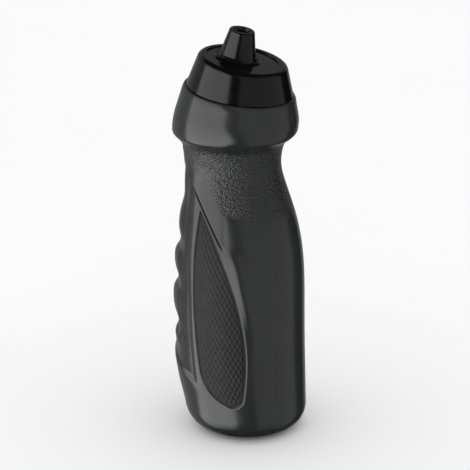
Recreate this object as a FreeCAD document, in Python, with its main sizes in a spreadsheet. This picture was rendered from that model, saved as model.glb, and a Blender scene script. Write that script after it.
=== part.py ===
import FreeCAD, Part
import math
import os
import Sketcher

# A sports squeeze bottle: a soft blow-moulded bottle with finger grooves and leaf-shaped
# side grips, a screw cap on a leaning neck, the cap's seal ring and a push-pull spout.
# +Z is up, the base stands on z = 0, the finger grooves face -X and the palm faces +X.
# Lengths are in millimetres, angles in degrees.

SIZES = {
    # bottle: the two overall sizes, then wall and base
    "body_height": 168,
    "body_radius": 37.75,
    "wall": 1.4,
    "floor_thickness": 1.8,
    "base_corner": 13,
    "pushup_radius": 18,
    "pushup_depth": 2.5,
    "pushup_step": 0.4,
    # finger grooves: one axis behind the palm, one radius, a depth each
    "groove_axis": 10,
    "groove_radius": 10,
    # leaf grips, sunk into both sides
    "leaf_depth": 0.6,
    "leaf_apex_across": -11,
    "leaf_apex_up": 136,
    "leaf_heel_across": -8.3,
    "leaf_heel_up": 43,
    "leaf_sole_across": 8,
    "leaf_sole_up": 24,
    "leaf_toe_across": 17.3,
    "leaf_toe_up": 29,
    "leaf_back_radius": 365,
    "leaf_heel_radius": 25,
    "leaf_toe_radius": 7,
    "leaf_front_radius": 148,
    # collar: the flare between the waist and the cap
    "collar_radius": 35.3,
    "shelf_radius": 31.2,
    # neck: everything that screws shares its tilted axis
    "neck_rise": 31.2,
    "neck_lean": -0.9,
    "neck_tilt": 7.5,
    "neck_radius": 23.4,
    "neck_wall": 1.6,
    "neck_height": 12.4,
    "neck_root": 4,
    # screw thread: one start, a right-hand helix
    "thread_pitch": 5,
    "thread_turns": 1.25,
    "thread_depth": 1.2,
    "thread_crest": 1.2,
    "thread_flank": 0.5,
    "thread_root": 0.4,
    "thread_first": 4.4,
    "thread_drop": 2.1,
    "thread_clearance": 0.3,
    # screw cap: a wedge, its deck tilted further than its rim
    "cap_gap": 0.6,
    "cap_rim_radius": 29.95,
    "cap_height": 17.8,
    "cap_tilt": 5.6,
    "deck_tilt": 10.7,
    "shoulder_radius": 24.6,
    "shoulder_round": 3.2,
    "deck_radius": 20.3,
    "deck_sink": 0.8,
    "ceiling_lap": 3.9,
    "ceiling_wall": 1.9,
    # seal ring between the neck's top and the cap's ceiling
    "seal_lap": 2,
    "seal_thickness": 1.2,
    "seal_clearance": 0.05,
    "seal_side_gap": 0.2,
    # spout tower and plug, moulded with the cap
    "tower_offset": -3,
    "boss_radius": 12,
    "boss_height": 0.9,
    "boss_slope": 1.5,
    "boss_root": 0.3,
    "tower_radius": 5.8,
    "tower_wall": 1.2,
    "tower_height": 10,
    "bead_reach": 0.8,
    "bead_top_reach": 0.48,
    "bead_height": 1,
    "web_thickness": 1.2,
    "web_start": 6,
    "web_root": 0.3,
    "plug_radius": 4.1,
    "plug_start": 11.6,
    "plug_top": 14.2,
    "plug_chamfer": 0.6,
    # spout: slides on the tower, its hole closes on the plug
    "spout_foot_gap": 0.5,
    "spout_base_radius": 9.9,
    "spout_top_radius": 6.95,
    "spout_height": 16.2,
    "spout_flare": 1.1,
    "spout_foot_edge": 0.6,
    "spout_flare_height": 2.2,
    "spout_rim_round": 0.8,
    "slide_clearance": 0.08,
    "lip_height": 2,
    "spout_bore_top": 10.4,
    "spout_hole_start": 12.4,
    "spout_mouth_chamfer": 0.8,
}

# Sections of the bottle above its round foot: height as a share of body_height, how far the
# section's centre leans towards the palm, and how far its radius lies inside body_radius.
# The first one stands on the foot, at the top of the base corner.
STATIONS = {
    "heel": (0, 3.95, 2.9),
    "calf": (0.179, 0.95, 1.1),
    "belly_low": (0.298, -0.5, 0.25),
    "belly": (0.417, -1.05, 0),
    "belly_high": (0.536, -1, 0.45),
    "chest": (0.655, -1.25, 1.9),
    "shoulder": (0.774, -2.1, 5.55),
    "waist_low": (0.863, -3.75, 9),
    "waist": (0.935, -4.7, 10.7),
    "throat": (1, -4.75, 9.3),
}

# Sections of the collar above the throat: height above the throat, lean and tilt towards the
# palm, and how far the radius lies inside collar_radius.
COLLAR_STATIONS = {
    "flare": (3.6, -4.45, 0.2, 4.3),
    "lower_edge": (8.0, -3.8, 0.6, 0.8),
    "widest": (11.0, -3.4, 0.9, 0),
    "upper_edge": (15.5, -2.8, 2.0, 0.4),
    "cone": (23, -1.9, 4.5, 2.1),
}

# Finger grooves from the top down: height as a share of body_height, depth, and how far the
# finger-side wall lies inside body_radius at that height.
GROOVES = {
    "index": (0.82, 1.2, 5.4),
    "middle": (0.664, 2.2, 0.8),
    "ring_finger": (0.533, 2.2, -0.9),
    "little": (0.375, 2.6, -1.1),
}

# How near an edge's centre and length must be to those of the circle it is picked by.
CENTRE_TOLERANCE = 1
LENGTH_TOLERANCE = 0.03

doc = FreeCAD.newDocument("squeeze_bottle")
sheet = doc.addObject("Spreadsheet::Sheet", "sizes")


def fill_sheet():
    """One row per size: its name in column A, its plain number in column B, aliased."""
    rows = dict(SIZES)
    for name, (share, lean, inset) in STATIONS.items():
        rows[name + "_share"] = share
        rows[name + "_lean"] = lean
        rows[name + "_inset"] = inset
    for name, (rise, lean, tilt, inset) in COLLAR_STATIONS.items():
        rows[name + "_rise"] = rise
        rows[name + "_lean"] = lean
        rows[name + "_tilt"] = tilt
        rows[name + "_inset"] = inset
    for name, (share, depth, inset) in GROOVES.items():
        rows[name + "_share"] = share
        rows[name + "_depth"] = depth
        rows[name + "_inset"] = inset
    for row, (name, number) in enumerate(rows.items(), start=1):
        sheet.set(f"A{row}", name)
        sheet.set(f"B{row}", str(number))
        sheet.setAlias(f"B{row}", name)
    doc.recompute()
    return set(rows)


SIZE_NAMES = fill_sheet()


def bound(formula):
    """A formula in size names, with each name pointed at its cell in the sheet."""
    words = []
    word = ""
    for sign in str(formula) + " ":
        if sign.isalnum() or sign == "_" or sign == ".":
            word += sign
            continue
        words.append("sizes." + word if word in SIZE_NAMES else word)
        words.append(sign)
        word = ""
    return "".join(words).strip()


def value(formula):
    """The formula's present value, for the first position of a sketch's points."""
    return float(sheet.evalExpression(str(formula)))


# Frames: x and z of the origin, and the lean of the upright axis towards the palm. The cap's
# cone leans less than the neck, its deck more. The tower stands off the deck's middle.
UPRIGHT = ("0", "0", "0")
GROOVE_AXIS = ("groove_axis", "0", "0")
BASE_AXIS = ("heel_lean", "0", "0")
NECK = ("neck_lean", "body_height + neck_rise", "neck_tilt")
CONE = ("neck_lean", "body_height + neck_rise", "cap_tilt")
DECK = (
    "neck_lean + cap_height * sin(cap_tilt)",
    "body_height + neck_rise + cap_height * cos(cap_tilt)",
    "deck_tilt",
)
TOWER = (
    f"{DECK[0]} + tower_offset * cos(deck_tilt)",
    f"{DECK[1]} - tower_offset * sin(deck_tilt)",
    "deck_tilt",
)


def new_body(name):
    body = doc.addObject("PartDesign::Body", name)
    body.Label = name
    return body


def origin_plane(body, role):
    return next(item for item in body.Origin.OriginFeatures if item.Role == role)


def new_sketch(body, name, role):
    sketch = body.newObject("Sketcher::SketchObject", name)
    sketch.AttachmentSupport = [(origin_plane(body, role), "")]
    sketch.MapMode = "FlatFace"
    return sketch


def place_sketch(sketch, offsets, hinge, tilt):
    """Move a sketch from its plane's origin and lean it about the hinge direction."""
    base = FreeCAD.Vector(*[value(offsets.get(axis, "0")) for axis in "xyz"])
    sketch.AttachmentOffset = FreeCAD.Placement(base, FreeCAD.Rotation(hinge, value(tilt)))
    for axis, formula in offsets.items():
        sketch.setExpression(f"AttachmentOffset.Base.{axis}", bound(formula))
    if tilt != "0":
        sketch.setExpression("AttachmentOffset.Rotation.Angle", bound(tilt))


def profile_sketch(body, name, frame):
    """A sketch in the X-Z plane whose vertical axis is the frame's tilted axis."""
    across, up, tilt = frame
    sketch = new_sketch(body, name, "XZ_Plane")
    place_sketch(sketch, {"x": across, "y": up}, FreeCAD.Vector(0, 0, -1), tilt)
    return sketch


def level_sketch(body, name, frame, along="0"):
    """A sketch square to the frame's axis, a distance along it."""
    across, up, tilt = frame
    sketch = new_sketch(body, name, "XY_Plane")
    centre_x = f"{across} + ({along}) * sin({tilt})"
    centre_z = f"{up} + ({along}) * cos({tilt})"
    place_sketch(sketch, {"x": centre_x, "z": centre_z}, FreeCAD.Vector(0, 1, 0), tilt)
    return sketch


def bind(sketch, kind, *parts, formula):
    """Add one dimension to a sketch and tie it to the sheet."""
    index = sketch.addConstraint(Sketcher.Constraint(kind, *parts, value(formula)))
    sketch.setExpression(f"Constraints[{index}]", bound(formula))


def add_circle(sketch, radius, across="0", up="0"):
    centre = FreeCAD.Vector(value(across), value(up), 0)
    circle = Part.Circle(centre, FreeCAD.Vector(0, 0, 1), value(radius))
    index = sketch.addGeometry(circle)
    if across == "0" and up == "0":
        sketch.addConstraint(Sketcher.Constraint("Coincident", index, 3, -1, 1))
    else:
        bind(sketch, "DistanceX", -1, 1, index, 3, formula=across)
        bind(sketch, "DistanceY", -1, 1, index, 3, formula=up)
    bind(sketch, "Radius", index, formula=radius)


def join_corners(sketch, edges, corners):
    """Close a loop of edges and place every corner from the sketch's origin."""
    for index, edge in enumerate(edges):
        following = edges[(index + 1) % len(edges)]
        sketch.addConstraint(Sketcher.Constraint("Coincident", edge, 2, following, 1))
    for edge, (across, up) in zip(edges, corners):
        bind(sketch, "DistanceX", -1, 1, edge, 1, formula=across)
        bind(sketch, "DistanceY", -1, 1, edge, 1, formula=up)


def add_outline(sketch, corners, radii=None):
    """A closed outline drawn anticlockwise: straight edges, or arcs that bulge outwards."""
    radii = radii or {}
    points = [FreeCAD.Vector(value(across), value(up), 0) for across, up in corners]
    edges = []
    for index, start in enumerate(points):
        end = points[(index + 1) % len(points)]
        if index not in radii:
            edges.append(sketch.addGeometry(Part.LineSegment(start, end)))
            continue
        radius = value(radii[index])
        chord = end - start
        bulge = radius - (radius ** 2 - chord.Length ** 2 / 4) ** 0.5
        outward = FreeCAD.Vector(chord.y, -chord.x, 0).normalize()
        middle = (start + end) * 0.5 + outward * bulge
        edges.append(sketch.addGeometry(Part.Arc(start, middle, end)))
        bind(sketch, "Radius", edges[-1], formula=radii[index])
    join_corners(sketch, edges, corners)


def volume(body):
    """The body's volume so far, nothing before its first feature."""
    return 0 if body.Tip is None else body.Shape.Volume


def loft(body, name, sections):
    """A smooth skin through the sections, added to the body."""
    before = volume(body)
    feature = body.newObject("PartDesign::AdditiveLoft", name)
    feature.Profile = sections[0]
    feature.Sections = sections[1:]
    doc.recompute()
    assert volume(body) > before, f"{name} adds nothing"
    return feature


def revolve(body, name, frame, corners, cut=False, radii=None):
    """Turn a closed profile about the frame's axis, as a solid or as a cut."""
    sketch = profile_sketch(body, name + "_profile", frame)
    add_outline(sketch, corners, radii)
    return turn_profile(body, name, sketch, cut)


def turn_profile(body, name, sketch, cut):
    kind = "PartDesign::Groove" if cut else "PartDesign::Revolution"
    before = volume(body)
    feature = body.newObject(kind, name)
    feature.Profile = sketch
    feature.ReferenceAxis = (sketch, ["V_Axis"])
    feature.Angle = 360
    doc.recompute()
    change = volume(body) - before
    assert change < 0 if cut else change > 0, f"{name} changes nothing"
    return feature


def round_edges(body, name, base, radius, wanted):
    """Round the edges of the base feature that the test picks out."""
    edges = [f"Edge{number}" for number, edge in enumerate(base.Shape.Edges, 1) if wanted(edge)]
    feature = body.newObject("PartDesign::Fillet", name)
    feature.Base = (base, edges)
    feature.Radius = value(radius)
    feature.setExpression("Radius", bound(radius))
    doc.recompute()
    return feature


def frame_point(frame, along="0"):
    """Where a frame's axis stands, a distance along it."""
    across, up, tilt = frame
    x = value(f"{across} + ({along}) * sin({tilt})")
    z = value(f"{up} + ({along}) * cos({tilt})")
    return FreeCAD.Vector(x, 0, z)


def rings_near(frame, along, radius):
    """A test for closed edges round the frame's axis with about the given radius."""
    centre = frame_point(frame, along)
    length = 2 * math.pi * value(radius)

    def wanted(edge):
        close = edge.CenterOfMass.distanceToPoint(centre) < CENTRE_TOLERANCE
        return close and abs(edge.Length / length - 1) < LENGTH_TOLERANCE

    return wanted


def foot(body, name, inset, floor):
    """The round foot: a flat disc with the base corner turned about an upright axis."""
    radius = f"body_radius - heel_inset - {inset}"
    revolve(body, name, BASE_AXIS, [
        ("0", floor),
        (f"{radius} - (base_corner - {floor})", floor),
        (radius, "base_corner"),
        ("0", "base_corner"),
    ], radii={1: f"base_corner - {floor}"})


def body_sections(body, tag, inset):
    """The circles from heel to throat, each drawn in by the inset."""
    sections = []
    for name in STATIONS:
        height = "base_corner" if name == "heel" else f"{name}_share * body_height"
        sketch = level_sketch(body, f"{tag}_{name}", (f"{name}_lean", height, "0"))
        add_circle(sketch, f"body_radius - {name}_inset - {inset}")
        sections.append(sketch)
    return sections


def collar_sections(body, tag, inset, shelf_drop):
    """The circles from throat to shelf, each drawn in by the inset."""
    throat = level_sketch(body, f"{tag}_throat", ("throat_lean", "body_height", "0"))
    add_circle(throat, f"body_radius - throat_inset - {inset}")
    sections = [throat]
    for name in COLLAR_STATIONS:
        frame = (f"{name}_lean", f"body_height + {name}_rise", f"{name}_tilt")
        sketch = level_sketch(body, f"{tag}_{name}", frame)
        add_circle(sketch, f"collar_radius - {name}_inset - {inset}")
        sections.append(sketch)
    shelf = level_sketch(body, f"{tag}_shelf", NECK, f"-{shelf_drop}")
    add_circle(shelf, f"shelf_radius - {inset}")
    return sections + [shelf]


def cut_finger_grooves(body, name, backing):
    """Rings scooped round the finger side, about one upright axis towards the palm."""
    sketch = profile_sketch(body, name + "_profile", GROOVE_AXIS)
    radius = f"groove_radius + {backing}"
    for groove in GROOVES:
        wall_reach = f"groove_axis + body_radius - {groove}_inset"
        across = f"-({wall_reach} - {groove}_depth + groove_radius)"
        add_circle(sketch, radius, across, f"{groove}_share * body_height")
    return turn_profile(body, name, sketch, cut=True)


def thread(body, name, frame, corners):
    """A helical ridge whose flat ends are square to the helix's start and end."""
    sketch = profile_sketch(body, name + "_profile", frame)
    add_outline(sketch, corners)
    doc.recompute()
    before = volume(body)
    feature = body.newObject("PartDesign::AdditiveHelix", name)
    feature.Profile = sketch
    feature.ReferenceAxis = (sketch, ["V_Axis"])
    feature.Mode = "pitch-turns-angle"
    feature.setExpression("Pitch", bound("thread_pitch"))
    feature.setExpression("Turns", bound("thread_turns"))
    doc.recompute()
    assert volume(body) > before, f"{name} adds nothing"
    return feature


def make_outer_form():
    """The bottle's outside as one solid: foot, body, collar, neck, thread and grooves."""
    body = new_body("outer_form")
    foot(body, "foot", "0", "0")
    loft(body, "skin", body_sections(body, "skin", "0"))
    loft(body, "collar", collar_sections(body, "collar", "0", "0"))
    revolve(body, "neck", NECK, [
        ("0", "-neck_root"),
        ("neck_radius", "-neck_root"),
        ("neck_radius", "neck_height"),
        ("0", "neck_height"),
    ])
    thread(body, "neck_thread", NECK, [
        ("neck_radius - thread_root", "thread_first - thread_crest / 2 - thread_flank"),
        ("neck_radius + thread_depth", "thread_first - thread_crest / 2"),
        ("neck_radius + thread_depth", "thread_first + thread_crest / 2"),
        ("neck_radius - thread_root", "thread_first + thread_crest / 2 + thread_flank"),
    ])
    cut_finger_grooves(body, "finger_grooves", "0")
    revolve(body, "pushup", BASE_AXIS, [
        ("0", "-pushup_step"),
        ("pushup_radius + pushup_step", "-pushup_step"),
        ("pushup_radius", "pushup_step"),
        ("0", "pushup_depth"),
    ], cut=True)
    return body


def make_cavity_form():
    """The drink's space: the outside drawn in by the wall, with the grooves backed."""
    body = new_body("cavity_form")
    foot(body, "well", "wall", "floor_thickness")
    loft(body, "inside", body_sections(body, "inside", "wall"))
    loft(body, "hollow", collar_sections(body, "hollow", "wall", "wall"))
    revolve(body, "neck_bore", NECK, [
        ("0", "-neck_root"),
        ("neck_radius - neck_wall", "-neck_root"),
        ("neck_radius - neck_wall", "neck_height + neck_root"),
        ("0", "neck_height + neck_root"),
    ])
    cut_finger_grooves(body, "groove_backing", "wall")
    revolve(body, "pushup_backing", BASE_AXIS, [
        ("0", "0"),
        ("pushup_radius + wall", "0"),
        ("pushup_radius + wall", "floor_thickness + pushup_step"),
        ("0", "floor_thickness + pushup_depth"),
    ], cut=True)
    return body


def make_leaf_recess():
    """What is scooped out for the leaf grips: the outline's prism outside a smaller skin."""
    floor_body = new_body("leaf_floor")
    loft(floor_body, "leaf_skin", body_sections(floor_body, "leaf", "leaf_depth"))
    prism = new_body("leaf_prism")
    sketch = profile_sketch(prism, "leaf_outline", UPRIGHT)
    add_outline(sketch, [
        ("leaf_apex_across", "leaf_apex_up"),
        ("leaf_heel_across", "leaf_heel_up"),
        ("leaf_sole_across", "leaf_sole_up"),
        ("leaf_toe_across", "leaf_toe_up"),
    ], radii={0: "leaf_back_radius", 1: "leaf_heel_radius", 2: "leaf_toe_radius", 3: "leaf_front_radius"})
    pad = prism.newObject("PartDesign::Pad", "leaf_pad")
    pad.Profile = sketch
    pad.Midplane = True
    pad.setExpression("Length", bound("3 * body_radius"))
    doc.recompute()
    recess = doc.addObject("Part::Cut", "leaf_recess")
    recess.Base = prism
    recess.Tool = floor_body
    doc.recompute()
    return recess


def make_bottle():
    outer = make_outer_form()
    recess = make_leaf_recess()
    gripped = doc.addObject("Part::Cut", "gripped_form")
    gripped.Base = outer
    gripped.Tool = recess
    cavity = make_cavity_form()
    bottle = doc.addObject("Part::Cut", "bottle_body")
    bottle.Label = "bottle_body"
    bottle.Base = gripped
    bottle.Tool = cavity
    doc.recompute()
    return bottle


def make_cap():
    """Wedge-shaped shell, deck, threaded bore, and the tower that carries the plug."""
    body = new_body("screw_cap")
    slope = "(cap_rim_radius - shoulder_radius) / cap_height"
    revolve(body, "cone", CONE, [
        ("0", "-cap_height / 2"),
        (f"cap_rim_radius + {slope} * cap_height / 2", "-cap_height / 2"),
        (f"shoulder_radius - {slope} * cap_height / 2", "1.5 * cap_height"),
        ("0", "1.5 * cap_height"),
    ])
    revolve(body, "above_deck", DECK, [
        ("0", "0"),
        ("2 * cap_rim_radius", "0"),
        ("2 * cap_rim_radius", "cap_height"),
        ("0", "cap_height"),
    ], cut=True)
    shoulder = rings_near(DECK, "0", "shoulder_radius")
    round_edges(body, "shoulder_round", body.Tip, "shoulder_round", shoulder)
    revolve(body, "below_rim", NECK, [
        ("0", "-cap_height"),
        ("2 * cap_rim_radius", "-cap_height"),
        ("2 * cap_rim_radius", "cap_gap"),
        ("0", "cap_gap"),
    ], cut=True)
    revolve(body, "deck", DECK, [
        ("0", "-deck_sink"),
        ("deck_radius", "-deck_sink"),
        ("deck_radius + deck_sink", "shoulder_round"),
        ("0", "shoulder_round"),
    ], cut=True)
    bore = "neck_radius + thread_depth + thread_clearance"
    ceiling = "neck_height + seal_thickness + 2 * seal_clearance"
    revolve(body, "threaded_bore", NECK, [
        ("0", "-thread_pitch"),
        (bore, "-thread_pitch"),
        (bore, ceiling),
        ("0", ceiling),
    ], cut=True)
    revolve(body, "ceiling", DECK, [
        ("0", "-cap_height / 2"),
        ("neck_radius - ceiling_lap", "-cap_height / 2"),
        ("neck_radius - ceiling_lap", "-deck_sink - ceiling_wall"),
        ("0", "-deck_sink - ceiling_wall"),
    ], cut=True)
    centre = "thread_first - thread_drop"
    crest = "neck_radius + thread_clearance"
    thread(body, "cap_thread", NECK, [
        (crest, f"{centre} - thread_crest / 2"),
        (f"{bore} + thread_root", f"{centre} - thread_crest / 2 - thread_flank"),
        (f"{bore} + thread_root", f"{centre} + thread_crest / 2 + thread_flank"),
        (crest, f"{centre} + thread_crest / 2"),
    ])
    add_tower(body)
    return body


def add_tower(body):
    """Boss ring, hollow tower with its stop bead, and the plug held on crossed webs."""
    floor = "-deck_sink"
    root = "-deck_sink - ceiling_wall"
    inner = "tower_radius - tower_wall"
    revolve(body, "boss", TOWER, [
        ("tower_radius", f"{floor} - boss_root"),
        ("boss_radius + boss_slope", f"{floor} - boss_root"),
        ("boss_radius + boss_slope", floor),
        ("boss_radius", f"{floor} + boss_height"),
        ("boss_radius - boss_slope / 3", f"{floor} + boss_height"),
        ("boss_radius - boss_slope / 2", floor),
        ("tower_radius", floor),
    ])
    revolve(body, "tower", TOWER, [
        ("0", root),
        ("tower_radius", root),
        ("tower_radius", "tower_height - bead_height"),
        ("tower_radius + bead_reach", "tower_height - bead_height"),
        ("tower_radius + bead_top_reach", "tower_height"),
        ("0", "tower_height"),
    ])
    revolve(body, "tower_bore", TOWER, [
        ("0", f"{root} - tower_wall"),
        (inner, f"{root} - tower_wall"),
        (inner, "tower_height + tower_wall"),
        ("0", "tower_height + tower_wall"),
    ], cut=True)
    add_webs(body, inner)
    revolve(body, "plug", TOWER, [
        ("0", "plug_start"),
        ("plug_radius - plug_chamfer", "plug_start"),
        ("plug_radius", "plug_start + plug_chamfer"),
        ("plug_radius", "plug_top - plug_chamfer"),
        ("plug_radius - plug_chamfer", "plug_top"),
        ("0", "plug_top"),
    ])


def add_webs(body, inner):
    """Two crossed webs that stand in the tower's bore and carry the plug."""
    sketch = level_sketch(body, "web_outline", TOWER, "web_start")
    half_length = f"({inner}) + web_root"
    half_width = "web_thickness / 2"
    add_outline(sketch, [
        (f"-({half_length})", f"-{half_width}"),
        (half_length, f"-{half_width}"),
        (half_length, half_width),
        (f"-({half_length})", half_width),
    ])
    web = body.newObject("PartDesign::Pad", "web")
    web.Profile = sketch
    web.setExpression("Length", bound("tower_height - bead_height - web_start"))
    doc.recompute()
    upper = level_sketch(body, "stalk_outline", TOWER, "web_start")
    add_outline(upper, [
        ("-plug_radius + plug_chamfer", f"-{half_width}"),
        ("plug_radius - plug_chamfer", f"-{half_width}"),
        ("plug_radius - plug_chamfer", half_width),
        ("-plug_radius + plug_chamfer", half_width),
    ])
    stalk = body.newObject("PartDesign::Pad", "stalk")
    stalk.Profile = upper
    stalk.setExpression("Length", bound("plug_start - web_start + plug_chamfer"))
    doc.recompute()
    pattern = body.newObject("PartDesign::PolarPattern", "crossed_webs")
    pattern.Originals = [web, stalk]
    pattern.Axis = (sketch, ["N_Axis"])
    pattern.Angle = 90
    pattern.Occurrences = 2
    body.Tip = pattern
    doc.recompute()


def make_seal():
    """A flat soft ring that the cap presses on the neck's top."""
    body = new_body("cap_seal_ring")
    low = "neck_height + seal_clearance"
    high = "neck_height + seal_clearance + seal_thickness"
    outer = "neck_radius + thread_depth + thread_clearance - seal_side_gap"
    revolve(body, "ring", NECK, [
        ("neck_radius - seal_lap", low),
        (outer, low),
        (outer, high),
        ("neck_radius - seal_lap", high),
    ])
    return body


def make_spout():
    """A tapered mouthpiece with a lip that stops on the tower's bead."""
    body = new_body("spout")
    foot = "-deck_sink + spout_foot_gap"
    top = f"{foot} + spout_height"
    lip_radius = "tower_radius + slide_clearance"
    bore = "tower_radius + bead_reach + slide_clearance"
    hole = "plug_radius + slide_clearance"
    revolve(body, "shell", TOWER, [
        (lip_radius, foot),
        ("spout_base_radius + spout_flare", foot),
        ("spout_base_radius + spout_flare", f"{foot} + spout_foot_edge"),
        ("spout_base_radius", f"{foot} + spout_flare_height"),
        ("spout_top_radius", top),
        (f"{hole} + spout_mouth_chamfer", top),
        (hole, f"{top} - spout_mouth_chamfer * 2"),
        (hole, "spout_hole_start"),
        (bore, "spout_bore_top"),
        (bore, f"{foot} + lip_height"),
        (lip_radius, f"{foot} + lip_height"),
    ])
    rim = rings_near(TOWER, top, "spout_top_radius")
    round_edges(body, "rim_round", body.Tip, "spout_rim_round", rim)
    return body


def check(pieces):
    """Stop if any feature failed or any piece isn't one sound solid."""
    for item in doc.Objects:
        assert "Invalid" not in item.State and "Error" not in item.State, f"{item.Name} failed"
    for piece in pieces:
        shape = piece.Shape
        assert not shape.isNull() and shape.isValid(), f"{piece.Label} isn't a sound shape"
        assert len(shape.Solids) == 1, f"{piece.Label} is {len(shape.Solids)} solids"


def main():
    pieces = [make_bottle(), make_cap(), make_seal(), make_spout()]
    doc.recompute()
    check(pieces)
    os.makedirs("parts", exist_ok=True)
    for piece in pieces:
        piece.Shape.exportStep(os.path.join("parts", piece.Label + ".step"))
        print(piece.Label, round(piece.Shape.Volume), piece.Shape.BoundBox)


main()
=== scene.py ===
import math

import bpy
import numpy as np
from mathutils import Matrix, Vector


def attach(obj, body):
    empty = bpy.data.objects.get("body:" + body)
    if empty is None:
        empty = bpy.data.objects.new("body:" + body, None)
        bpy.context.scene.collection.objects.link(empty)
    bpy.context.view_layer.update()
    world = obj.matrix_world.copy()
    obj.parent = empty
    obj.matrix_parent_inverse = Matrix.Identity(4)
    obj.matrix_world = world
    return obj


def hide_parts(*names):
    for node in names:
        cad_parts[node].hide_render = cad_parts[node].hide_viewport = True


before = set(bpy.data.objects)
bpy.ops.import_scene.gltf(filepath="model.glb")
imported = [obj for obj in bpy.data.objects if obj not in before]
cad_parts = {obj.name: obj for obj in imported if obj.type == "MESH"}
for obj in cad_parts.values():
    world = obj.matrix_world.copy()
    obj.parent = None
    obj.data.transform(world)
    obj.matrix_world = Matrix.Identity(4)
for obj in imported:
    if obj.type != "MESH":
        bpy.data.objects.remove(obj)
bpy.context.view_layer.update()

# The looks of a sports squeeze bottle. The bottle's skin is rebuilt as one fine mesh in
# place of the plain CAD body: -X is the finger side, +X the palm side, both sides alike.
# Outlines are in millimetres, as on a drawing, and become metres when the mesh is made.

MM = 0.001

# ---------------------------------------------------------------- curves and blends


def ease(x):
    """0 below 0, 1 above 1, with a soft start and end."""
    x = np.clip(x, 0, 1)
    return x * x * (3 - 2 * x)


def rising(x, start, width):
    """0 up to start, 1 from a width further on, with a soft rise between."""
    return ease((x - start) / width)


def bell(x):
    """1 at 0, falling smoothly to 0 on both sides."""
    return np.exp(-x * x)


def spline(points):
    """A natural cubic spline through (x, y) points, straight beyond its ends."""
    xs, ys = np.array(points, float).T
    steps = np.diff(xs)
    slopes = np.diff(ys) / steps
    count = len(xs)
    matrix = np.eye(count)
    right = np.zeros(count)
    for i in range(1, count - 1):
        matrix[i, i - 1:i + 2] = steps[i - 1], 2 * (steps[i - 1] + steps[i]), steps[i]
        right[i] = 6 * (slopes[i] - slopes[i - 1])
    bends = np.linalg.solve(matrix, right)

    def at(x):
        x = np.asarray(x, float)
        inside = np.clip(x, xs[0], xs[-1])
        i = np.clip(np.searchsorted(xs, inside) - 1, 0, count - 2)
        step = steps[i]
        before = inside - xs[i]
        after = xs[i + 1] - inside
        cubic = (bends[i] * after ** 3 + bends[i + 1] * before ** 3) / (6 * step)
        first = (ys[i] / step - bends[i] * step / 6) * after
        second = (ys[i + 1] / step - bends[i + 1] * step / 6) * before
        start_slope = slopes[0] - steps[0] * bends[1] / 6
        end_slope = slopes[-1] + steps[-1] * bends[-2] / 6
        beyond = np.where(x < xs[0], start_slope, end_slope) * (x - inside)
        return cubic + first + second + beyond

    return at


def spaced(start, end, count, crowd_start=0.0, crowd_end=0.0):
    """Values from start up to but not including end, closer together at a crowded end."""
    t = np.arange(count) / count
    crowded = t - crowd_start * np.sin(2 * np.pi * t) / (2 * np.pi) * (1 - t)
    crowded = crowded + crowd_end * np.sin(2 * np.pi * (1 - t)) / (2 * np.pi) * t
    return start + (end - start) * crowded


# ---------------------------------------------------------------- the bottle's sizes

# Sections from the foot to the collar: height, lean towards the palm and radius.
BODY = [
    (0, 4.35, 34.5), (14, 3.2, 35.0), (30, 0.95, 36.6), (50, -0.5, 37.4),
    (70, -1.05, 37.6), (90, -1.0, 37.2), (110, -1.25, 35.75), (130, -2.1, 32.1),
    (145, -3.75, 28.7), (157, -4.7, 27.0), (166, -4.75, 28.0),
]
# Sections of the collar up to its shelf: height, lean, tilt in degrees and radius.
COLLAR = [
    (166, -4.75, 0, 28.0), (169, -4.6, 0.1, 28.9), (171.2, -4.45, 0.2, 30.4),
    (173.4, -4.2, 0.4, 32.8), (175.2, -3.95, 0.55, 34.5), (176.6, -3.65, 0.7, 35.0),
    (178.6, -3.38, 0.9, 35.15), (184, -2.75, 2.1, 34.8), (191, -1.9, 4.5, 33.2),
    (197.3, -1.1, 6.9, 31.75),
]
BODY_TOP = BODY[-1][0]
COLLAR_TOP = COLLAR[-1][0]
BASE_CORNER = 13
PUSHUP_RADIUS = 18
PUSHUP_EDGE = 0.6
PUSHUP_DEPTH = 2.5
# The push-up's dome falls off with this power of the way out from its middle.
PUSHUP_POWER = 4
WALL = 1.4
FLOOR_THICKNESS = 1.8

NECK_ORIGIN = (-0.9, 199.2)
NECK_TILT = 7.5
SHELF_RADIUS = 31.15
SHELF_ROUND = 0.7
SHELF_FLAT_RADIUS = 29
NECK_RADIUS = 23.4
NECK_WALL = 1.6
NECK_HEIGHT = 12.4
NECK_FILLET = 1.2
NECK_FILLET_MIDDLE = 0.35
LIP_ROUND = 0.5
LIP_CUT = 0.15
# The shelf's underside: radius and height along the neck's axis.
SHELF_UNDERSIDE = [(22.8, -2.8), (27.15, -3.2), (29.15, -4.0)]
THREAD_FIRST = 4.4
THREAD_PITCH = 5
THREAD_TURNS = 1.25
THREAD_DEPTH = 1.2
THREAD_CREST = 1.2
THREAD_FLANK = 0.5
THREAD_END = 0.03

# The mould's parting line: its height, and its half width in degrees.
SEAM_RISE = 0.1
SEAM_HALF_WIDTH = 0.55
SEAM_AT_FOOT = 0.6

# The leaf grip's outline in the side view: corners and the bulge of the arc after each.
LEAF_CORNERS = [(-11, 136), (-8.3, 43), (8, 24), (17.3, 29)]
LEAF_BULGES = [3, 3.4, 3.2, 10.9]
LEAF_ARC_POINTS = 60
LEAF_DEPTH = 0.9
DIAMOND_WIDTH = 2.8
DIAMOND_HEIGHT = 5.3
DIAMOND_RISE = 0.45
DIAMOND_RADIUS = 36.5

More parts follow.
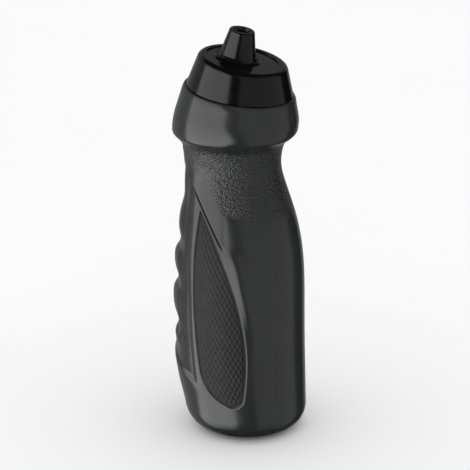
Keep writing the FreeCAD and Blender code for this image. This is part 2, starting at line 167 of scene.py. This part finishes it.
# Lines on the skin, as height against the angle round from the finger side in degrees.
CREASE = [
    (0, 163), (20, 160.5), (34, 156.7), (54, 150.3), (65, 146), (76.5, 138.7), (86, 130.8),
    (95, 122.4), (101, 117), (113, 112), (130, 114), (150, 120), (180, 124),
]
GRIP_FLOOR = [(0, 52), (25, 47), (47, 41.5), (62, 37.7), (75, 34.5), (100, 30)]
# Lines up the skin, as the angle against the height.
GRIP_EDGE = [(0, 70), (36, 69.5), (66, 67.8), (100, 65), (135, 61.5), (168, 60)]
LEAF_BACK = [
    (0, 86), (23, 86), (31, 84), (43, 77.5), (55, 75.2), (80, 72.8), (100, 71.3), (120, 70.5),
    (140, 72), (168, 73),
]
LEAF_FRONT = [
    (0, 116), (40, 118), (71, 116.4), (89, 112.2), (103, 106.3), (113, 101.5), (125, 98),
    (145, 98), (168, 104),
]
BAND_EDGE = [(0, 122), (65, 121.5), (92, 119), (105, 114), (118, 108), (145, 108), (168, 118)]

# Finger grooves from the top: height, depth, and how far each spreads up and down.
GROOVES = [(138, 1.2, 8, 6), (110.5, 2.9, 8, 3.2), (88.5, 3.0, 7.5, 3.4), (62.5, 3.0, 8.5, 3.6)]

# A blend is where something starts to show and how far on it is whole, in millimetres, or
# in degrees where it says so.
GROOVE_END_DEGREES = (36, 20)

# The crease: the waist stands over the grip, with a notch under its edge.
STEP_RISE = 0.35
STEP_REACH_UP = 9
STEP_REACH_DOWN = 6
NOTCH_DEPTH = 0.8
NOTCH_DROP = 0.5
NOTCH_HALF_WIDTH = 0.5
CREASE_BLEND = (-0.2, 0.4)
CREASE_START_DEGREES = (-4, 20)
CREASE_END_DEGREES = (96, 7)

# The grip zone's trough, and the raised band round it that settles into the plain skin.
TROUGH_DEPTH = 0.9
BAND_RISE = 0.3
CORNER_SOFTNESS = 1.2
TROUGH_BLEND = (-14, 6)
BAND_BLEND = (-1, 3.6)
SETTLE_BLEND = (3, 9)
GRIP_FOOT_BLEND = (16, 12)

# The leaf's edge, the diamonds' margin, and the ridge along the leaf's palm side.
LEAF_BLEND = (-0.45, 0.9)
DIAMOND_BLEND = (1.0, 0.8)
RIDGE_RISE = 0.5
RIDGE_WIDTH = 4
RIDGE_SWELL = 2.4
RIDGE_SWELL_HEIGHT = 112
RIDGE_SWELL_SPREAD = 14
RIDGE_FALL = 5
RIDGE_START_DEGREES = (92, 8)
RIDGE_LOW_BLEND = (50, 30)
RIDGE_HIGH_BLEND = (108, 12)

# The stippled waist: the height of its lower limit at the middle, and how that slopes.
STIPPLE_DEPTH = 0.12
STIPPLE_LIMIT = 137.9
STIPPLE_SLOPE = 0.364
STIPPLE_LIMIT_BLEND = (0, 1.2)
STIPPLE_CREASE_BLEND = (2, 14)
STIPPLE_TOP_BLEND = (171, 2)
COLLAR_STIPPLE_BLEND = (170, 3)

crease_height = spline(CREASE)
grip_floor = spline(GRIP_FLOOR)
grip_edge = spline(GRIP_EDGE)
body_lean = spline([(height, lean) for height, lean, radius in BODY])
body_radius = spline([(height, radius) for height, lean, radius in BODY])

# ---------------------------------------------------------------- the bottle's relief


def leaf_outline():
    """The leaf grip's outline as a closed run of points, from its four arcs."""
    points = []
    for i, bulge in enumerate(LEAF_BULGES):
        start = np.array(LEAF_CORNERS[i], float)
        end = np.array(LEAF_CORNERS[(i + 1) % len(LEAF_CORNERS)], float)
        chord = end - start
        length = np.hypot(*chord)
        outward = np.array([chord[1], -chord[0]]) / length
        radius = (length ** 2 / 4 + bulge ** 2) / (2 * bulge)
        centre = (start + end) / 2 - outward * (radius - bulge)
        half = math.asin(length / 2 / radius)
        heading = math.atan2(outward[1], outward[0])
        for turn in np.linspace(-half, half, LEAF_ARC_POINTS, endpoint=False):
            spoke = np.array([math.cos(heading + turn), math.sin(heading + turn)])
            points.append(centre + radius * spoke)
    return np.array(points)


LEAF_OUTLINE = leaf_outline()


def outline_distance(outline, x, z):
    """Distance to a closed outline, negative inside."""
    nearest = np.full(x.shape, np.inf)
    inside = np.zeros(x.shape, bool)
    for start, end in zip(outline, np.roll(outline, -1, axis=0)):
        edge = end - start
        along = ((x - start[0]) * edge[0] + (z - start[1]) * edge[1]) / (edge @ edge)
        along = np.clip(along, 0, 1)
        gap = np.hypot(x - start[0] - along * edge[0], z - start[1] - along * edge[1])
        nearest = np.minimum(nearest, gap)
        crosses = (start[1] > z) != (end[1] > z)
        if edge[1] != 0:
            inside ^= crosses & (x < start[0] + (z - start[1]) / edge[1] * edge[0])
    return np.where(inside, -nearest, nearest)


def groove_depth(theta, z):
    """How deep the finger grooves are scooped, fading out round the side."""
    depth = 0
    for height, deep, up, down in GROOVES:
        depth = depth + deep * bell((z - height) / np.where(z > height, up, down))
    return depth * (1 - rising(theta, *GROOVE_END_DEGREES))


def crease_relief(theta, above, below_crease):
    """The step from the grip up to the waist, and the notch under it."""
    strength = 1 - rising(theta, *CREASE_END_DEGREES)
    strength = strength * rising(theta, *CREASE_START_DEGREES)
    raised = (1 - below_crease) * STEP_RISE * np.exp(-np.maximum(above, 0) / STEP_REACH_UP)
    lowered = below_crease * STEP_RISE * np.exp(np.minimum(above, 0) / STEP_REACH_DOWN)
    notch = NOTCH_DEPTH * bell((above + NOTCH_DROP) / NOTCH_HALF_WIDTH)
    return strength * (raised - lowered - notch)


def grip_relief(theta, z, radius):
    """The grip zone's trough and the band round it."""
    past_edge = np.radians(theta - grip_edge(z)) * radius
    past_floor = grip_floor(theta) - z
    outside = np.logaddexp(past_edge / CORNER_SOFTNESS, past_floor / CORNER_SOFTNESS)
    outside = outside * CORNER_SOFTNESS
    trough = -TROUGH_DEPTH * rising(outside, *TROUGH_BLEND)
    band = (TROUGH_DEPTH + BAND_RISE) * rising(outside, *BAND_BLEND)
    settle = BAND_RISE * rising(outside, *SETTLE_BLEND)
    return (trough + band - settle) * rising(z, *GRIP_FOOT_BLEND)


def ridge_relief(theta, z, edge):
    """The ridge along the leaf's palm side, widest below the leaf's top."""
    width = RIDGE_WIDTH + RIDGE_SWELL * bell((z - RIDGE_SWELL_HEIGHT) / RIDGE_SWELL_SPREAD)
    ridge = ease(edge / width) * (1 - ease((edge - width) / RIDGE_FALL))
    ridge = ridge * rising(theta, *RIDGE_START_DEGREES) * rising(z, *RIDGE_LOW_BLEND)
    return RIDGE_RISE * ridge * (1 - rising(z, *RIDGE_HIGH_BLEND))


def diamond_relief(theta, z, edge):
    """The leaf's diamonds, clear of its edge."""
    round_way = np.radians(theta) * DIAMOND_RADIUS / DIAMOND_WIDTH
    up_way = z / DIAMOND_HEIGHT
    pillow = np.sin(np.pi * (round_way + up_way)) * np.sin(np.pi * (round_way - up_way))
    return DIAMOND_RISE * np.abs(pillow) * rising(-edge, *DIAMOND_BLEND)


def side_relief(theta, z):
    """Height of the skin's relief in millimetres, with the leaf and stipple masks."""
    radius = body_radius(z)
    x = body_lean(z) - radius * np.cos(np.radians(theta))
    slope = (crease_height(theta + 1) - crease_height(theta - 1)) / (2 * np.radians(1) * radius)
    above = (z - crease_height(theta)) / np.sqrt(1 + slope ** 2)
    below_crease = 1 - rising(above, *CREASE_BLEND)
    edge = outline_distance(LEAF_OUTLINE, x, z)
    leaf = 1 - rising(edge, *LEAF_BLEND)
    over_limit = z - (STIPPLE_LIMIT - STIPPLE_SLOPE * x)
    stipple = rising(over_limit, *STIPPLE_LIMIT_BLEND) * rising(above, *STIPPLE_CREASE_BLEND)
    stipple = stipple * (1 - rising(z, *STIPPLE_TOP_BLEND))

    relief = crease_relief(theta, above, below_crease)
    relief = relief + (grip_relief(theta, z, radius) - groove_depth(theta, z)) * below_crease
    relief = relief + ridge_relief(theta, z, edge) + diamond_relief(theta, z, edge)
    return relief - LEAF_DEPTH * leaf - STIPPLE_DEPTH * stipple, leaf, stipple


def seam(theta):
    """The mould's parting line, up the finger side and the palm side."""
    finger_side = bell(theta / SEAM_HALF_WIDTH)
    palm_side = bell((180 - theta) / SEAM_HALF_WIDTH)
    return SEAM_RISE * (finger_side + palm_side)


# ---------------------------------------------------------------- the bottle's mesh

# Columns go round one half in zones between these lines, then repeat round the other half.
ZONE_LINES = [spline(line) for line in (GRIP_EDGE, LEAF_BACK, LEAF_FRONT, BAND_EDGE)]
ZONE_COLUMNS = [36, 12, 62, 10, 28]
CROWD_START = [0.35, 0, 0.35, 0, 0]
CROWD_END = [0.35, 0, 0.35, 0, 0.35]
# The heights whose column angles the foot, the collar and a row's first guess use.
FOOT_COLUMNS_AT = 20
COLLAR_COLUMNS_AT = 168
GUESS_COLUMNS_AT = 80
# Rows settle on angles and heights that agree, by this many steps of this share.
SETTLING_STEPS = 30
SETTLING_SHARE = 0.5

# Rows up the outside: level ones to the grip's foot, then ones that follow the crease.
LEVEL_START = BASE_CORNER + 1.2
LEVEL_TOP = 22.0
LEVEL_ROWS = 7
BELOW_CREASE_ROWS = 152
BELOW_CREASE_CROWD_END = 0.5
ABOVE_CREASE_ROWS = 26
ABOVE_CREASE_CROWD_START = 0.8
FLARE_START = 171
FLARE_END = 179
# Rings of the rounded corner, of the collar below, along and above its flare, of the
# shelf's edge, by turns in degrees, and of the threaded neck.
CORNER_RINGS = 13
CORNER_START_DEGREES = 7
COLLAR_RINGS = (6, 18, 12)
SHELF_TURNS = (20, 45, 70, 90)
THREAD_RINGS = 32
# Rings of the inside: heights along the neck in its bore, then the wall down to the floor.
BORE_HEIGHTS = (6, 1, -2)
INNER_COLLAR_TOP = COLLAR_TOP - 3
INNER_COLLAR_RINGS = 7
INNER_SIDE_TOP = BODY_TOP - 4
INNER_SIDE_FOOT = BASE_CORNER + 1
INNER_SIDE_RINGS = 14
INNER_CORNER_START_DEGREES = 75
INNER_CORNER_RINGS = 6
# Shares of the push-up's radius where it has a ring, outside and inside.
PUSHUP_RINGS = (0.02, 0.25, 0.5, 0.75, 0.9, 0.97)
PUSHUP_INNER_RINGS = (1.0, 0.7, 0.3, 0.02)


def column_places():
    """For each column round one half: the zone it is in and its share across it."""
    zones = np.repeat(np.arange(len(ZONE_COLUMNS)), ZONE_COLUMNS)
    shares = [spaced(0, 1, *row) for row in zip(ZONE_COLUMNS, CROWD_START, CROWD_END)]
    return np.append(zones, len(ZONE_COLUMNS) - 1), np.append(np.concatenate(shares), 1)


def column_angles(z):
    """The columns' angles round one half, each at its own height."""
    zones, shares = column_places()
    z = np.broadcast_to(np.asarray(z, float), zones.shape)
    lines = np.array([0 * z] + [line(z) for line in ZONE_LINES] + [0 * z + 180])
    columns = np.arange(len(zones))
    start = lines[zones, columns]
    end = lines[zones + 1, columns]
    return start + (end - start) * shares


def mirror(values):
    """One half's values carried on round the other half."""
    return np.concatenate([values, values[-2:0:-1]])


def full_turn(theta):
    """One half's angles in degrees as angles all the way round, in radians."""
    return np.radians(np.concatenate([theta, -theta[-2:0:-1]]))


def ring_points(lean, height, tilt, radius, psi):
    """Points of one ring: psi turns from the finger side, positive towards -Y."""
    reach = -radius * np.cos(psi)
    lean_angle = np.radians(tilt)
    x = lean + reach * np.cos(lean_angle)
    z = height - reach * np.sin(lean_angle)
    return np.stack([x, -radius * np.sin(psi), z + 0 * psi], axis=-1)


def neck_ring(radius, along, psi):
    """A ring about the neck's axis, a distance along it."""
    tilt = math.radians(NECK_TILT)
    lean = NECK_ORIGIN[0] + along * math.sin(tilt)
    height = NECK_ORIGIN[1] + along * math.cos(tilt)
    return ring_points(lean, height, NECK_TILT, radius, psi)


def thread_rise(psi, along):
    """Height of the helical thread above the neck's wall."""
    turn = (np.degrees(psi) + 180) / 360
    rise = np.zeros_like(psi)
    for lap in range(math.ceil(THREAD_TURNS) + 1):
        total = turn + lap
        offset = np.abs(along - THREAD_FIRST - THREAD_PITCH * total)
        flank = 1 - ease((offset - THREAD_CREST / 2) / THREAD_FLANK)
        ends = ease(total / THREAD_END) * ease((THREAD_TURNS - total) / THREAD_END)
        rise = np.maximum(rise, THREAD_DEPTH * flank * ends)
    return rise


class Skin:
    """The skin's rings in order, from the push-up's middle, up, over and down the inside."""

    def __init__(self):
        self.rings = []
        self.leaf = []
        self.stipple = []

    def add(self, points, leaf=None, stipple=None):
        blank = np.zeros(len(points))
        self.rings.append(points)
        self.leaf.append(blank if leaf is None else leaf)
        self.stipple.append(blank if stipple is None else stipple)


def add_foot(skin):
    """Push-up, standing ring and the rounded corner."""
    half = column_angles(FOOT_COLUMNS_AT)
    psi = full_turn(half)
    flat_radius = body_radius(0) - BASE_CORNER
    for share in PUSHUP_RINGS:
        height = PUSHUP_DEPTH * (1 - share ** PUSHUP_POWER)
        skin.add(ring_points(body_lean(0), height, 0, PUSHUP_RADIUS * share, psi))
    for radius in (PUSHUP_RADIUS + PUSHUP_EDGE, (PUSHUP_RADIUS + flat_radius) / 2, flat_radius):
        skin.add(ring_points(body_lean(0), 0, 0, radius, psi))
    for turn in np.radians(np.linspace(CORNER_START_DEGREES, 90, CORNER_RINGS)):
        height = BASE_CORNER * (1 - math.cos(turn))
        inset = BASE_CORNER * (1 - math.sin(turn))
        radius = body_radius(height) - inset + SEAM_AT_FOOT * seam(half) * math.sin(turn)
        skin.add(ring_points(body_lean(height), height, 0, mirror(radius), psi))


def row_heights():
    """For each row of the side, its heights as a function of its columns' angles."""
    rows = []
    for height in spaced(LEVEL_START, LEVEL_TOP, LEVEL_ROWS):
        rows.append(lambda theta, height=height: np.full_like(theta, height))
    for share in spaced(0, 1, BELOW_CREASE_ROWS, 0, BELOW_CREASE_CROWD_END):
        rows.append(lambda theta, share=share:
                    LEVEL_TOP + (crease_height(theta) - LEVEL_TOP) * share)
    for share in spaced(0, 1, ABOVE_CREASE_ROWS, ABOVE_CREASE_CROWD_START, 0):
        rows.append(lambda theta, share=share:
                    crease_height(theta) + (BODY_TOP - crease_height(theta)) * share)
    return rows


def solve_row(height_at):
    """Angles and heights of one row: its columns keep to the lines they belong to."""
    theta = column_angles(GUESS_COLUMNS_AT)
    for _ in range(SETTLING_STEPS):
        z = height_at(theta)
        theta = theta + SETTLING_SHARE * (column_angles(z) - theta)
    return theta, z


def add_side(skin):
    """The body's side with all its relief, up to the collar."""
    for height_at in row_heights():
        theta, z = solve_row(height_at)
        relief, leaf, stipple = side_relief(theta, z)
        radius = body_radius(z) + relief + seam(theta)
        points = ring_points(mirror(body_lean(z)), mirror(z), 0, mirror(radius), full_turn(theta))
        skin.add(points, mirror(leaf), mirror(stipple))


def add_collar(skin, collar, half):
    """The flared collar up to the shelf's edge."""
    psi = full_turn(half)
    parting_line = mirror(seam(half))
    below, along, above = COLLAR_RINGS
    heights = [
        spaced(BODY_TOP, FLARE_START, below),
        spaced(FLARE_START, FLARE_END, along),
        np.linspace(FLARE_END, COLLAR_TOP, above),
    ]
    for height in np.concatenate(heights):
        lean, tilt, radius = (curve(height) for curve in collar)
        stipple = np.full(psi.shape, float(1 - rising(height, *COLLAR_STIPPLE_BLEND)))
        skin.add(ring_points(lean, height, tilt, radius + parting_line, psi), None, stipple)


def add_neck(skin, psi):
    """The rounded shelf, the threaded neck, its lip and bore, and the shelf's underside."""
    bore = NECK_RADIUS - NECK_WALL
    outside = []
    for turn in np.radians(SHELF_TURNS):
        radius = SHELF_RADIUS - SHELF_ROUND * (1 - math.cos(turn))
        outside.append((radius, SHELF_ROUND * (math.sin(turn) - 1)))
    outside += [
        (SHELF_FLAT_RADIUS, 0),
        (NECK_RADIUS + NECK_FILLET, 0),
        (NECK_RADIUS + NECK_FILLET_MIDDLE, NECK_FILLET_MIDDLE),
        (NECK_RADIUS, NECK_FILLET),
    ]
    for radius, along in outside:
        skin.add(neck_ring(radius, along, psi))
    thread_start = NECK_FILLET + LIP_ROUND
    thread_end = NECK_HEIGHT - LIP_ROUND
    for along in np.linspace(thread_start, thread_end, THREAD_RINGS):
        skin.add(neck_ring(NECK_RADIUS + thread_rise(psi, along), along, psi))
    inside = [
        (NECK_RADIUS - LIP_CUT, NECK_HEIGHT - LIP_CUT),
        (NECK_RADIUS - LIP_ROUND, NECK_HEIGHT),
        (bore + LIP_ROUND, NECK_HEIGHT),
        (bore, NECK_HEIGHT - LIP_ROUND),
    ]
    inside += [(bore, along) for along in BORE_HEIGHTS] + SHELF_UNDERSIDE
    for radius, along in inside:
        skin.add(neck_ring(radius, along, psi))


def add_inside(skin, collar, half):
    """The inside of collar, side, corner and push-up, drawn in by the wall."""
    psi = full_turn(half)
    for height in np.linspace(INNER_COLLAR_TOP, BODY_TOP, INNER_COLLAR_RINGS):
        lean, tilt, radius = (curve(height) for curve in collar)
        skin.add(ring_points(lean, height, tilt, radius - WALL, psi))
    for height in np.linspace(INNER_SIDE_TOP, INNER_SIDE_FOOT, INNER_SIDE_RINGS):
        radius = body_radius(height) - WALL - groove_depth(half, np.full_like(half, height))
        skin.add(ring_points(body_lean(height), height, 0, mirror(radius), psi))
    corner = BASE_CORNER - WALL
    for turn in np.radians(np.linspace(INNER_CORNER_START_DEGREES, 0, INNER_CORNER_RINGS)):
        height = FLOOR_THICKNESS + corner * (1 - math.cos(turn))
        inset = WALL + corner * (1 - math.sin(turn))
        skin.add(ring_points(body_lean(height), height, 0, body_radius(height) - inset, psi))
    for share in PUSHUP_INNER_RINGS:
        height = FLOOR_THICKNESS + PUSHUP_DEPTH * (1 - share ** PUSHUP_POWER)
        skin.add(ring_points(body_lean(0), height, 0, PUSHUP_RADIUS * share, psi))


def bottle_skin():
    """All rings of the bottle and their masks."""
    skin = Skin()
    add_foot(skin)
    add_side(skin)
    heights, *columns = zip(*COLLAR)
    collar = [spline(list(zip(heights, column))) for column in columns]
    half = column_angles(COLLAR_COLUMNS_AT)
    add_collar(skin, collar, half)
    add_neck(skin, full_turn(half))
    add_inside(skin, collar, half)
    return skin


def make_mesh(name, rings):
    """A mesh from rings of equal length, joined in turn and closed at both ends."""
    around = len(rings[0])
    points = np.concatenate(rings) * MM
    index = np.arange(len(rings) * around).reshape(len(rings), around)
    here = index[:-1]
    above = index[1:]
    quads = np.stack([here, np.roll(here, -1, 1), np.roll(above, -1, 1), above], axis=-1)
    faces = quads.reshape(-1, 4).tolist()
    faces.append(index[0][::-1].tolist())
    faces.append(index[-1].tolist())
    mesh = bpy.data.meshes.new(name)
    mesh.from_pydata(points.tolist(), [], faces)
    mesh.polygons.foreach_set("use_smooth", np.ones(len(mesh.polygons), bool))
    mesh.update()
    piece = bpy.data.objects.new(name, mesh)
    bpy.context.scene.collection.objects.link(piece)
    return piece


def store(piece, name, values):
    """Keep a mask on the mesh's points for its material to read."""
    layer = piece.data.attributes.new(name, "FLOAT", "POINT")
    layer.data.foreach_set("value", np.concatenate(values).astype(np.float32))


def make_bottle():
    """The bottle's skin in place of its plain CAD body."""
    skin = bottle_skin()
    piece = make_mesh("bottle_skin", skin.rings)
    store(piece, "leaf", skin.leaf)
    store(piece, "stipple", skin.stipple)
    piece.data.materials.append(bottle_material())
    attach(piece, "bottle")
    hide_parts("bottle_body")


# ---------------------------------------------------------------- materials


class Nodes:
    """A new material, with short calls for adding and joining its shader nodes."""

    def __init__(self, name):
        self.material = bpy.data.materials.new(name)
        self.material.use_nodes = True
        self.tree = self.material.node_tree
        self.shader = self.tree.nodes["Principled BSDF"]

    def add(self, kind, **settings):
        node = self.tree.nodes.new(kind)
        for key, value in settings.items():
            setattr(node, key, value)
        return node

    def feed(self, socket, value):
        """Join another node's output to a socket, or set a plain number or colour."""
        if isinstance(value, bpy.types.NodeSocket):
            self.tree.links.new(value, socket)
        elif isinstance(value, tuple):
            socket.default_value = (*value, 1)
        else:
            socket.default_value = value

    def noise(self, scale, detail, rough=0.5):
        node = self.add("ShaderNodeTexNoise")
        self.feed(node.inputs["Vector"], self.add("ShaderNodeTexCoord").outputs["Object"])
        self.feed(node.inputs["Scale"], scale)
        self.feed(node.inputs["Detail"], detail)
        self.feed(node.inputs["Roughness"], rough)
        return node.outputs["Fac"]

    def grains(self, scale):
        node = self.add("ShaderNodeTexVoronoi", feature="SMOOTH_F1")
        self.feed(node.inputs["Vector"], self.add("ShaderNodeTexCoord").outputs["Object"])
        self.feed(node.inputs["Scale"], scale)
        return node.outputs["Distance"]

    def mask(self, name):
        return self.add("ShaderNodeAttribute", attribute_name=name).outputs["Fac"]

    def math(self, operation, first, second):
        node = self.add("ShaderNodeMath", operation=operation)
        self.feed(node.inputs[0], first)
        self.feed(node.inputs[1], second)
        return node.outputs[0]

    def remap(self, value, low, high, start, end):
        """A value that runs from start to end, as one that runs from low to high."""
        node = self.add("ShaderNodeMapRange")
        self.feed(node.inputs["Value"], value)
        self.feed(node.inputs["From Min"], start)
        self.feed(node.inputs["From Max"], end)
        self.feed(node.inputs["To Min"], low)
        self.feed(node.inputs["To Max"], high)
        return node.outputs["Result"]

    def mix_colour(self, factor, first, second):
        """The first colour where the factor is 0, the second where it is 1."""
        node = self.add("ShaderNodeMix", data_type="RGBA")
        # a mix node's colour inputs follow those of its number and vector kinds
        self.feed(node.inputs[0], factor)
        self.feed(node.inputs[6], first)
        self.feed(node.inputs[7], second)
        return node.outputs[2]

    def bump(self, height, strength, distance, under=None):
        """A bump, on top of another one if one is given."""
        node = self.add("ShaderNodeBump")
        self.feed(node.inputs["Distance"], distance)
        self.feed(node.inputs["Strength"], strength)
        self.feed(node.inputs["Height"], height)
        if under is not None:
            self.feed(node.inputs["Normal"], under)
        return node.outputs["Normal"]


# The middle stretch of a noise's values, which is spread over the whole of a range.
NOISE_SPREAD = (0.3, 0.7)
LEAF_ROUGHER = 0.5
STIPPLE_ROUGHER = 0.06
# The black plastic's darker patches, and its finer peel, as shares of the main ones.
DARKER_SHARE = 0.7
FINE_PEEL_SHARE = 0.4


def bottle_material():
    """Charcoal squeeze plastic: glossy, faintly rippled, stippled at the waist."""
    nodes = Nodes("charcoal_squeeze_plastic")
    shader = nodes.shader
    leaf = nodes.mask("leaf")
    stipple = nodes.mask("stipple")

    cloud = nodes.noise(scale=35, detail=4)
    charcoal = nodes.mix_colour(cloud, (0.018, 0.0185, 0.0195), (0.025, 0.0255, 0.0265))
    nodes.feed(shader.inputs["Base Color"], nodes.mix_colour(leaf, charcoal, (0.004, 0.004, 0.0042)))

    haze = nodes.noise(scale=160, detail=5, rough=0.65)
    rough = nodes.remap(haze, 0.17, 0.25, *NOISE_SPREAD)
    rough = nodes.math("ADD", rough, nodes.math("MULTIPLY", leaf, LEAF_ROUGHER))
    rough = nodes.math("ADD", rough, nodes.math("MULTIPLY", stipple, STIPPLE_ROUGHER))
    nodes.feed(shader.inputs["Roughness"], rough)

    ripple = nodes.bump(nodes.noise(scale=45, detail=2), strength=0.25, distance=0.0006)
    grain = nodes.bump(nodes.grains(scale=1150), strength=stipple, distance=0.0007, under=ripple)
    nodes.feed(shader.inputs["Normal"], grain)
    shader.inputs["IOR"].default_value = 1.5
    shader.inputs["Specular IOR Level"].default_value = 0.6
    return nodes.material


def black_gloss(name, colour, smoothest, roughest, peel):
    """Moulded black plastic with a fine orange peel and patchy gloss."""
    nodes = Nodes(name)
    shader = nodes.shader
    darker = tuple(DARKER_SHARE * channel for channel in colour)
    cloud = nodes.noise(scale=60, detail=4)
    nodes.feed(shader.inputs["Base Color"], nodes.mix_colour(cloud, darker, colour))
    haze = nodes.noise(scale=220, detail=6, rough=0.7)
    rough = nodes.remap(haze, smoothest, roughest, *NOISE_SPREAD)
    nodes.feed(shader.inputs["Roughness"], rough)
    coarse = nodes.bump(nodes.noise(scale=90, detail=2), strength=peel, distance=0.0004)
    fine_noise = nodes.noise(scale=1400, detail=2)
    fine_peel = peel * FINE_PEEL_SHARE
    fine = nodes.bump(fine_noise, strength=fine_peel, distance=0.00012, under=coarse)
    nodes.feed(shader.inputs["Normal"], fine)
    shader.inputs["IOR"].default_value = 1.49
    return nodes.material


def seal_material():
    """Pale silicone rubber, matt, with a little dust."""
    nodes = Nodes("pale_silicone")
    shader = nodes.shader
    dust = nodes.noise(scale=300, detail=5, rough=0.7)
    pale = nodes.mix_colour(dust, (0.50, 0.50, 0.47), (0.62, 0.62, 0.59))
    nodes.feed(shader.inputs["Base Color"], pale)
    nodes.feed(shader.inputs["Roughness"], nodes.remap(dust, 0.5, 0.7, 0, 1))
    nodes.feed(shader.inputs["Normal"], nodes.bump(dust, strength=0.2, distance=0.0002))
    return nodes.material


def repaint(node, material):
    """Give a CAD node a new material in every slot it has."""
    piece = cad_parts[node]
    if not piece.material_slots:
        piece.data.materials.append(material)
    for material_slot in piece.material_slots:
        material_slot.material = material


# ---------------------------------------------------------------- stage, light, camera

# The camera's distance and the stage's sizes are in metres.
LOOK_AT = Vector((-2.83, -1.64, 114.0)) * MM
CAMERA_AZIMUTH = 25.0
CAMERA_ELEVATION = 19.5
CAMERA_DISTANCE = 1.2
CAMERA_LENS = 162.5
CAMERA_SENSOR = 36
CARD_DISTANCE = 2.0
CARD_ELEVATIONS = (-70, -32, -20, 40)
CARD_COLUMNS = 24
CARD_FOOT_FADE = (0.22, 0.64)
CARD_CLIMB = (0.6, 1)
FLOOR_REACH = 6.0
FLOOR_DROP = 0.0002
WORLD_STRENGTH = 1.06


def direction(azimuth, elevation):
    """The direction from the object to a place, by its azimuth and elevation."""
    turn = math.radians(azimuth)
    rise = math.radians(elevation)
    level = math.cos(rise)
    return Vector((math.sin(turn) * level, -math.cos(turn) * level, math.sin(rise)))


def make_camera():
    """A long lens that looks down on the bottle's near side, a little from the palm."""
    back = direction(CAMERA_AZIMUTH, CAMERA_ELEVATION)
    data = bpy.data.cameras.new("camera")
    data.lens = CAMERA_LENS
    data.sensor_width = CAMERA_SENSOR
    camera = bpy.data.objects.new("camera", data)
    camera.location = LOOK_AT + back * CAMERA_DISTANCE
    camera.rotation_mode = "QUATERNION"
    camera.rotation_quaternion = (-back).to_track_quat("-Z", "Y")
    bpy.context.scene.collection.objects.link(camera)
    bpy.context.scene.camera = camera


def card_material(name, low, high):
    """A plain glowing sheet: it fades out at its foot and changes evenly to its top."""
    nodes = Nodes(name)
    split = nodes.add("ShaderNodeSeparateXYZ")
    nodes.feed(split.inputs[0], nodes.add("ShaderNodeTexCoord").outputs["Generated"])
    foot = nodes.remap(split.outputs["Z"], 0, low, *CARD_FOOT_FADE)
    climb = nodes.remap(split.outputs["Z"], 1, high / low, *CARD_CLIMB)
    shader = nodes.shader
    shader.inputs["Base Color"].default_value = (0, 0, 0, 1)
    shader.inputs["Specular IOR Level"].default_value = 0
    shader.inputs["Emission Color"].default_value = (1, 1, 1, 1)
    nodes.feed(shader.inputs["Emission Strength"], nodes.math("MULTIPLY", foot, climb))
    return nodes.material


def light_card(name, left, right, low, high):
    """A curved glowing card that only shows in reflections.

    left and right are the turns of its edges round from the finger side, in degrees, one for
    each of CARD_ELEVATIONS. low and high are how strongly it glows there.
    """
    points = []
    for elevation, first, last in zip(CARD_ELEVATIONS, left, right):
        rise = CARD_DISTANCE * math.tan(math.radians(elevation)) + LOOK_AT.z
        for turn in np.radians(np.linspace(first, last, CARD_COLUMNS + 1)):
            points.append((-CARD_DISTANCE * math.cos(turn), -CARD_DISTANCE * math.sin(turn), rise))
    row = CARD_COLUMNS + 1
    starts = [i + row * level for level in range(len(left) - 1) for i in range(CARD_COLUMNS)]
    faces = [(i, i + 1, i + 1 + row, i + row) for i in starts]
    mesh = bpy.data.meshes.new(name)
    mesh.from_pydata(points, [], faces)
    mesh.materials.append(card_material(name, low, high))
    card = bpy.data.objects.new(name, mesh)
    bpy.context.scene.collection.objects.link(card)
    card.visible_camera = False
    card.visible_diffuse = False
    card.visible_shadow = False


def make_floor():
    """A plain pale floor, just under the foot so that the two don't meet in one plane."""
    corners = [(-1, -1), (1, -1), (1, 1), (-1, 1)]
    points = [(FLOOR_REACH * x, FLOOR_REACH * y, 0) for x, y in corners]
    mesh = bpy.data.meshes.new("floor")
    mesh.from_pydata(points, [], [(0, 1, 2, 3)])
    floor = bpy.data.objects.new("floor", mesh)
    floor.location.z = -FLOOR_DROP
    bpy.context.scene.collection.objects.link(floor)
    nodes = Nodes("pale_floor")
    cloud = nodes.noise(scale=3, detail=2)
    tone = nodes.mix_colour(cloud, (0.92, 0.92, 0.92), (0.95, 0.95, 0.95))
    nodes.feed(nodes.shader.inputs["Base Color"], tone)
    nodes.shader.inputs["Roughness"].default_value = 0.9
    mesh.materials.append(nodes.material)
    floor.visible_glossy = False
    floor.visible_shadow = False


def make_world():
    """White surroundings for the camera and for soft light, kept out of the gloss."""
    world = bpy.data.worlds.new("studio")
    world.use_nodes = True
    background = world.node_tree.nodes["Background"]
    background.inputs["Color"].default_value = (1, 1, 1, 1)
    background.inputs["Strength"].default_value = WORLD_STRENGTH
    world.cycles_visibility.glossy = False
    bpy.context.scene.world = world


def make_studio():
    """Surroundings, floor and the four cards round the bottle."""
    make_world()
    make_floor()
    light_card("left_card", [14] * 4, [66, 98, 112, 74], low=2.8, high=0.95)
    light_card("far_left_card", [-60] * 4, [13] * 4, low=0.35, high=0.2)
    light_card("right_card", [140, 140, 134, 97], [225] * 4, low=0.36, high=0.24)
    light_card("back_card", [262] * 4, [299] * 4, low=0.35, high=0.12)


# ---------------------------------------------------------------- everything in place

make_camera()
make_studio()
make_bottle()
repaint("screw_cap", black_gloss(
    "cap_black_plastic", (0.004, 0.004, 0.0042), smoothest=0.12, roughest=0.2, peel=0.15))
repaint("spout", black_gloss(
    "spout_black_plastic", (0.005, 0.005, 0.0052), smoothest=0.14, roughest=0.22, peel=0.12))
repaint("cap_seal_ring", seal_material())

bpy.context.scene.view_settings.view_transform = "Standard"
